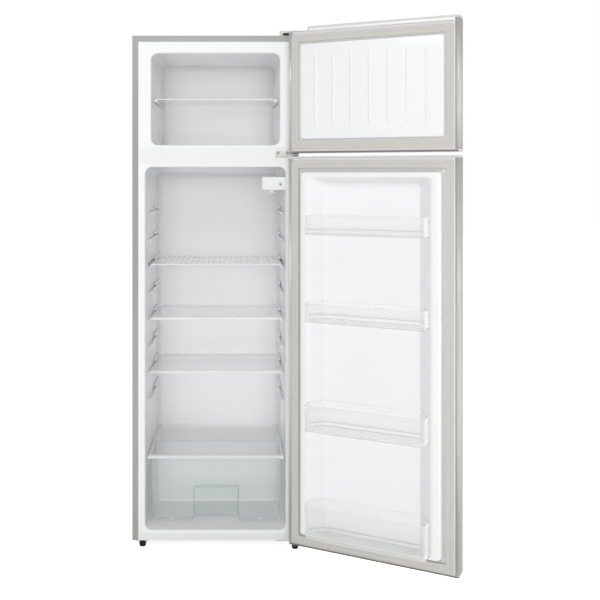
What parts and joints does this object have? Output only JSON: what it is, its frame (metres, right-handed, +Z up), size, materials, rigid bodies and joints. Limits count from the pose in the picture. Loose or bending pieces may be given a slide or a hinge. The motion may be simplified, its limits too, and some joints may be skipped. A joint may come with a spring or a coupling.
{
  "type": "top freezer refrigerator",
  "caption": "Two-door upright refrigerator with a freezer on top, doors standing open, with shelves, crisper, door bins and rear cooling coil.",
  "frame": {"origin": "on the floor under the middle of the cabinet", "axes": "+Z up, front of the cabinet towards -Y, hinges on the +X side"},
  "size_m": [1.0295, 0.843, 1.7095],
  "materials": {
    "painted_steel_grey": "satin grey paint on sheet steel",
    "door_cap_grey": "satin moulded plastic",
    "galvanised_steel": "galvanised sheet",
    "white_liner": "smooth vacuum-formed sheet",
    "white_moulding": "smooth moulded plastic",
    "rigid_foam": "rigid foam",
    "aluminium_tube": "drawn tube",
    "black_wire_coil": "black dip coat",
    "black_enamel": "gloss black enamel",
    "black_plastic": "moulded plastic",
    "copper": "drawn tube, tarnished",
    "black_rubber": "moulded rubber",
    "roller_plastic": "moulded nylon",
    "zinc_steel": "zinc plated",
    "lamp_cover": "frosted clear plastic",
    "lamp_glass": "clear glass",
    "clear_plastic": "clear polystyrene, faint green",
    "shelf_glass": "clear toughened glass",
    "white_coated_wire": "white powder coat",
    "gasket_rubber": "soft grey vinyl"
  },
  "bodies": {
    "cabinet": {"outer_shell": "painted_steel_grey", "back_panel": "galvanised_steel", "base_pan": "galvanised_steel", "step_panel": "galvanised_steel", "cabinet_foam": "rigid_foam", "freezer_liner": "white_liner", "fridge_liner": "white_liner", "mullion_cover": "white_liner", "bottom_trim": "white_liner", "freezer_evaporator": "aluminium_tube", "fridge_evaporator": "aluminium_tube", "condenser": "black_wire_coil", "condenser_clips": "white_moulding", "compressor": "black_enamel", "compressor_grommets": "black_rubber", "starter_relay": "black_plastic", "filter_drier": "copper", "pipework": "copper", "drip_tray": "black_plastic", "drain_tube": "white_moulding", "cord_gland": "black_rubber", "top_hinge": "zinc_steel", "top_hinge_cover": "door_cap_grey", "middle_hinge": "zinc_steel", "bottom_hinge": "zinc_steel", "hinge_pins": "zinc_steel", "hinge_screws": "zinc_steel", "roller_brackets": "galvanised_steel", "thermostat_housing": "white_moulding", "lamp_lens": "lamp_cover", "lamp_bulb": "lamp_glass"},
    "freezer_door": {"freezer_door_skin": "painted_steel_grey", "freezer_door_caps": "door_cap_grey", "freezer_door_liner": "white_liner", "freezer_door_gasket": "gasket_rubber", "freezer_door_foam": "rigid_foam"},
    "fridge_door": {"fridge_door_skin": "painted_steel_grey", "fridge_door_caps": "door_cap_grey", "fridge_door_liner": "white_liner", "fridge_door_gasket": "gasket_rubber", "fridge_door_foam": "rigid_foam"},
    "bin_1": {"door_bin_1": "clear_plastic"},
    "bin_2": {"door_bin_2": "clear_plastic"},
    "bin_3": {"door_bin_3": "clear_plastic"},
    "bin_4": {"door_bin_4": "clear_plastic"},
    "shelf_freezer": {"freezer_shelf": "clear_plastic"},
    "shelf_wire": {"wire_shelf": "white_coated_wire"},
    "shelf_upper": {"glass_shelf_upper": "shelf_glass", "upper_shelf_trim": "white_moulding"},
    "shelf_lower": {"glass_shelf_lower": "shelf_glass", "lower_shelf_trim": "white_moulding"},
    "crisper_lid": {"crisper_cover": "shelf_glass", "crisper_cover_trim": "white_moulding"},
    "crisper": {"crisper_drawer": "clear_plastic"},
    "dial": {"thermostat_knob": "white_moulding"},
    "switch_button": {"light_switch": "black_plastic"},
    "left_foot": {"foot_left": "black_plastic"},
    "right_foot": {"foot_right": "black_plastic"},
    "left_roller": {"roller_left": "roller_plastic"},
    "right_roller": {"roller_right": "roller_plastic"}
  },
  "joints": [
    {"name": "freezer_door_hinge", "type": "hinge", "parent": "cabinet", "child": "freezer_door", "pos_m": [0.262, -0.286, 1.692], "axis": [0, 0, 1], "range_deg": [-153.6, 6.4]},
    {"name": "fridge_door_hinge", "type": "hinge", "parent": "cabinet", "child": "fridge_door", "pos_m": [0.262, -0.286, 1.294], "axis": [0, 0, 1], "range_deg": [-153.6, 6.4]},
    {"name": "shelf_freezer_slide", "type": "slide", "parent": "cabinet", "child": "shelf_freezer", "axis": [0, -1, 0], "range_m": [0, 0.24]},
    {"name": "shelf_wire_slide", "type": "slide", "parent": "cabinet", "child": "shelf_wire", "axis": [0, -1, 0], "range_m": [0, 0.24]},
    {"name": "shelf_upper_slide", "type": "slide", "parent": "cabinet", "child": "shelf_upper", "axis": [0, -1, 0], "range_m": [0, 0.24]},
    {"name": "shelf_lower_slide", "type": "slide", "parent": "cabinet", "child": "shelf_lower", "axis": [0, -1, 0], "range_m": [0, 0.24]},
    {"name": "crisper_lid_slide", "type": "slide", "parent": "cabinet", "child": "crisper_lid", "axis": [0, -1, 0], "range_m": [0, 0.24]},
    {"name": "crisper_slide", "type": "slide", "parent": "cabinet", "child": "crisper", "axis": [0, -1, 0], "range_m": [0, 0.24]},
    {"name": "bin_1_lift", "type": "slide", "parent": "fridge_door", "child": "bin_1", "axis": [0, 0, 1], "range_m": [0, 0.06]},
    {"name": "bin_2_lift", "type": "slide", "parent": "fridge_door", "child": "bin_2", "axis": [0, 0, 1], "range_m": [0, 0.06]},
    {"name": "bin_3_lift", "type": "slide", "parent": "fridge_door", "child": "bin_3", "axis": [0, 0, 1], "range_m": [0, 0.06]},
    {"name": "bin_4_lift", "type": "slide", "parent": "fridge_door", "child": "bin_4", "axis": [0, 0, 1], "range_m": [0, 0.06]},
    {"name": "dial_turn", "type": "hinge", "parent": "cabinet", "child": "dial", "pos_m": [0.1875, -0.176, 1.182], "axis": [0, 0, 1], "range_deg": [0, 300]},
    {"name": "switch_press", "type": "slide", "parent": "cabinet", "child": "switch_button", "axis": [0, 1, 0], "range_m": [0, 0.005], "stiffness_N_per_m": 150},
    {"name": "left_foot_screw", "type": "hinge", "parent": "cabinet", "child": "left_foot", "pos_m": [-0.242, -0.235, 0.01], "axis": [0, 0, 1], "continuous": true},
    {"name": "right_foot_screw", "type": "hinge", "parent": "cabinet", "child": "right_foot", "pos_m": [0.263, -0.254, 0.01], "axis": [0, 0, 1], "continuous": true},
    {"name": "left_roller_spin", "type": "hinge", "parent": "cabinet", "child": "left_roller", "pos_m": [-0.225, 0.215, 0.01], "axis": [1, 0, 0], "continuous": true},
    {"name": "right_roller_spin", "type": "hinge", "parent": "cabinet", "child": "right_roller", "pos_m": [0.225, 0.215, 0.01], "axis": [1, 0, 0], "continuous": true}
  ]
}
